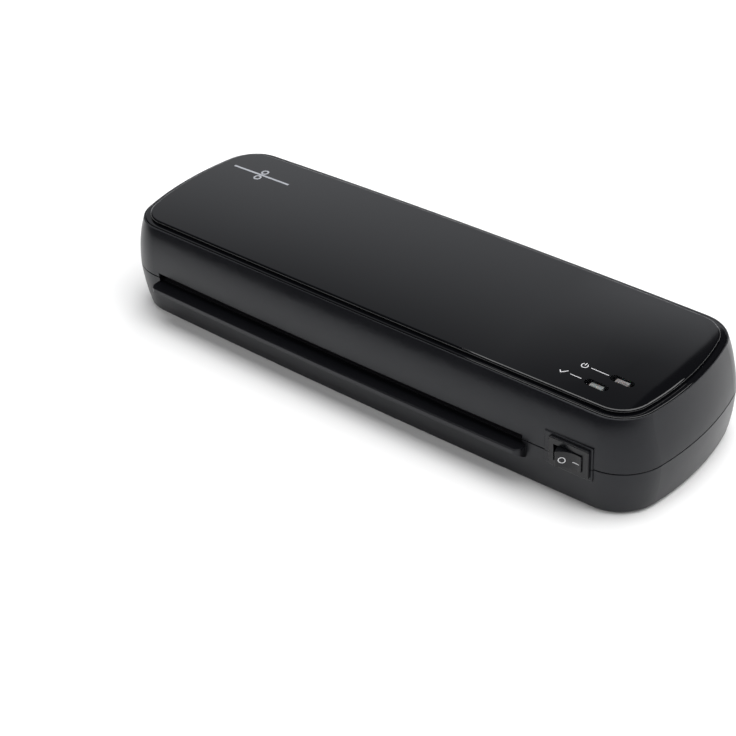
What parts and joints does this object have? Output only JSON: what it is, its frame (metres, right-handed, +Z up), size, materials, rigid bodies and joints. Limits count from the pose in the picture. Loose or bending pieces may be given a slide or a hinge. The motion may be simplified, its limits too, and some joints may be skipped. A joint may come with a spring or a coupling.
{
  "type": "pouch laminator",
  "caption": "Desktop pouch laminator: low rounded black case with a gloss raised cover, entry and exit slots with lips, a rocker switch, two indicator windows and a geared roller pair inside.",
  "frame": {"origin": "on the surface that the feet stand on, under the middle of the case", "axes": "+X along the length towards the switch end, +Y from the entry slot to the exit slot, +Z up"},
  "size_m": [0.3314, 0.1168, 0.0556],
  "materials": {
    "satin_case": "fine satin texture",
    "gloss_cover": "polished",
    "switch_plastic": "semi-gloss",
    "clear_lens": "clear",
    "red_led": "diffused",
    "green_led": "diffused",
    "circuit_board": "solder mask",
    "silicone": "matte",
    "white_nylon": "satin",
    "black_rubber": "matte",
    "aluminium_sheet": "mill",
    "heater_film": "polyimide film",
    "guide_plastic": "satin",
    "dark_moulding": "matte",
    "terminal_brass": "plain",
    "lead_insulation": "PVC",
    "zinc_steel": "zinc plated"
  },
  "bodies": {
    "chassis": {"case_screws": "zinc_steel", "cord_gland": "black_rubber", "entry_guide_lower": "guide_plastic", "entry_guide_upper": "guide_plastic", "exit_guide_lower": "guide_plastic", "exit_guide_upper": "guide_plastic", "feet": "black_rubber", "frame_screws": "zinc_steel", "gear_motor": "zinc_steel", "heat_shield": "aluminium_sheet", "heater_leads": "lead_insulation", "led_board": "circuit_board", "led_board_screws": "zinc_steel", "led_leads": "lead_insulation", "left_side_frame": "zinc_steel", "lower_bushes": "white_nylon", "lower_case": "satin_case", "lower_heat_shoe": "aluminium_sheet", "lower_heater": "heater_film", "motor_bracket": "zinc_steel", "motor_leads": "lead_insulation", "motor_screws": "zinc_steel", "motor_standoffs": "zinc_steel", "power_led": "red_led", "power_window": "clear_lens", "ready_led": "green_led", "ready_window": "clear_lens", "right_side_frame": "zinc_steel", "switch_housing": "switch_plastic", "switch_leads": "lead_insulation", "switch_terminals": "terminal_brass", "terminal_block": "dark_moulding", "thermal_fuse": "zinc_steel", "thermostat": "dark_moulding", "top_cover": "gloss_cover", "upper_case": "satin_case", "upper_heat_shoe": "aluminium_sheet", "upper_heater": "heater_film"},
    "rocker": {"switch_rocker": "switch_plastic"},
    "lower_roller": {"lower_roller_shaft": "zinc_steel", "lower_roller_sleeve": "silicone", "lower_roller_gear": "white_nylon", "lower_roller_clips": "zinc_steel"},
    "upper_carriage": {"upper_bushes": "white_nylon", "spring_seats": "white_nylon", "pressure_springs": "zinc_steel"},
    "upper_roller": {"upper_roller_shaft": "zinc_steel", "upper_roller_sleeve": "silicone", "upper_roller_gear": "white_nylon", "upper_roller_clips": "zinc_steel"},
    "motor_output": {"motor_shaft": "zinc_steel", "motor_gear": "white_nylon"}
  },
  "joints": [
    {"name": "rocker_tilt", "type": "hinge", "parent": "chassis", "child": "rocker", "pos_m": [0.1279, -0.05015, 0.0284], "axis": [0, 0, -1], "range_deg": [0, 30.8]},
    {"name": "lower_roller_turn", "type": "hinge", "parent": "chassis", "child": "lower_roller", "pos_m": [-0.016, 0, 0.0166], "axis": [-1, 0, 0], "continuous": true},
    {"name": "nip_lift", "type": "slide", "parent": "chassis", "child": "upper_carriage", "axis": [0, 0, 1], "range_m": [0, 0.0008], "stiffness_N_per_m": 4000, "springref_m": -0.005, "deforming": ["pressure_springs"]},
    {"name": "upper_roller_turn", "type": "hinge", "parent": "upper_carriage", "child": "upper_roller", "pos_m": [-0.016, 0, 0.0346], "axis": [-1, 0, 0], "continuous": true},
    {"name": "motor_turn", "type": "hinge", "parent": "chassis", "child": "motor_output", "pos_m": [0.115, 0.019, 0.0166], "axis": [-1, 0, 0], "continuous": true}
  ],
  "couplings": [
    {"joint": "upper_roller_turn", "follows": "lower_roller_turn", "ratio": -1},
    {"joint": "motor_turn", "follows": "lower_roller_turn", "ratio": -0.9}
  ]
}
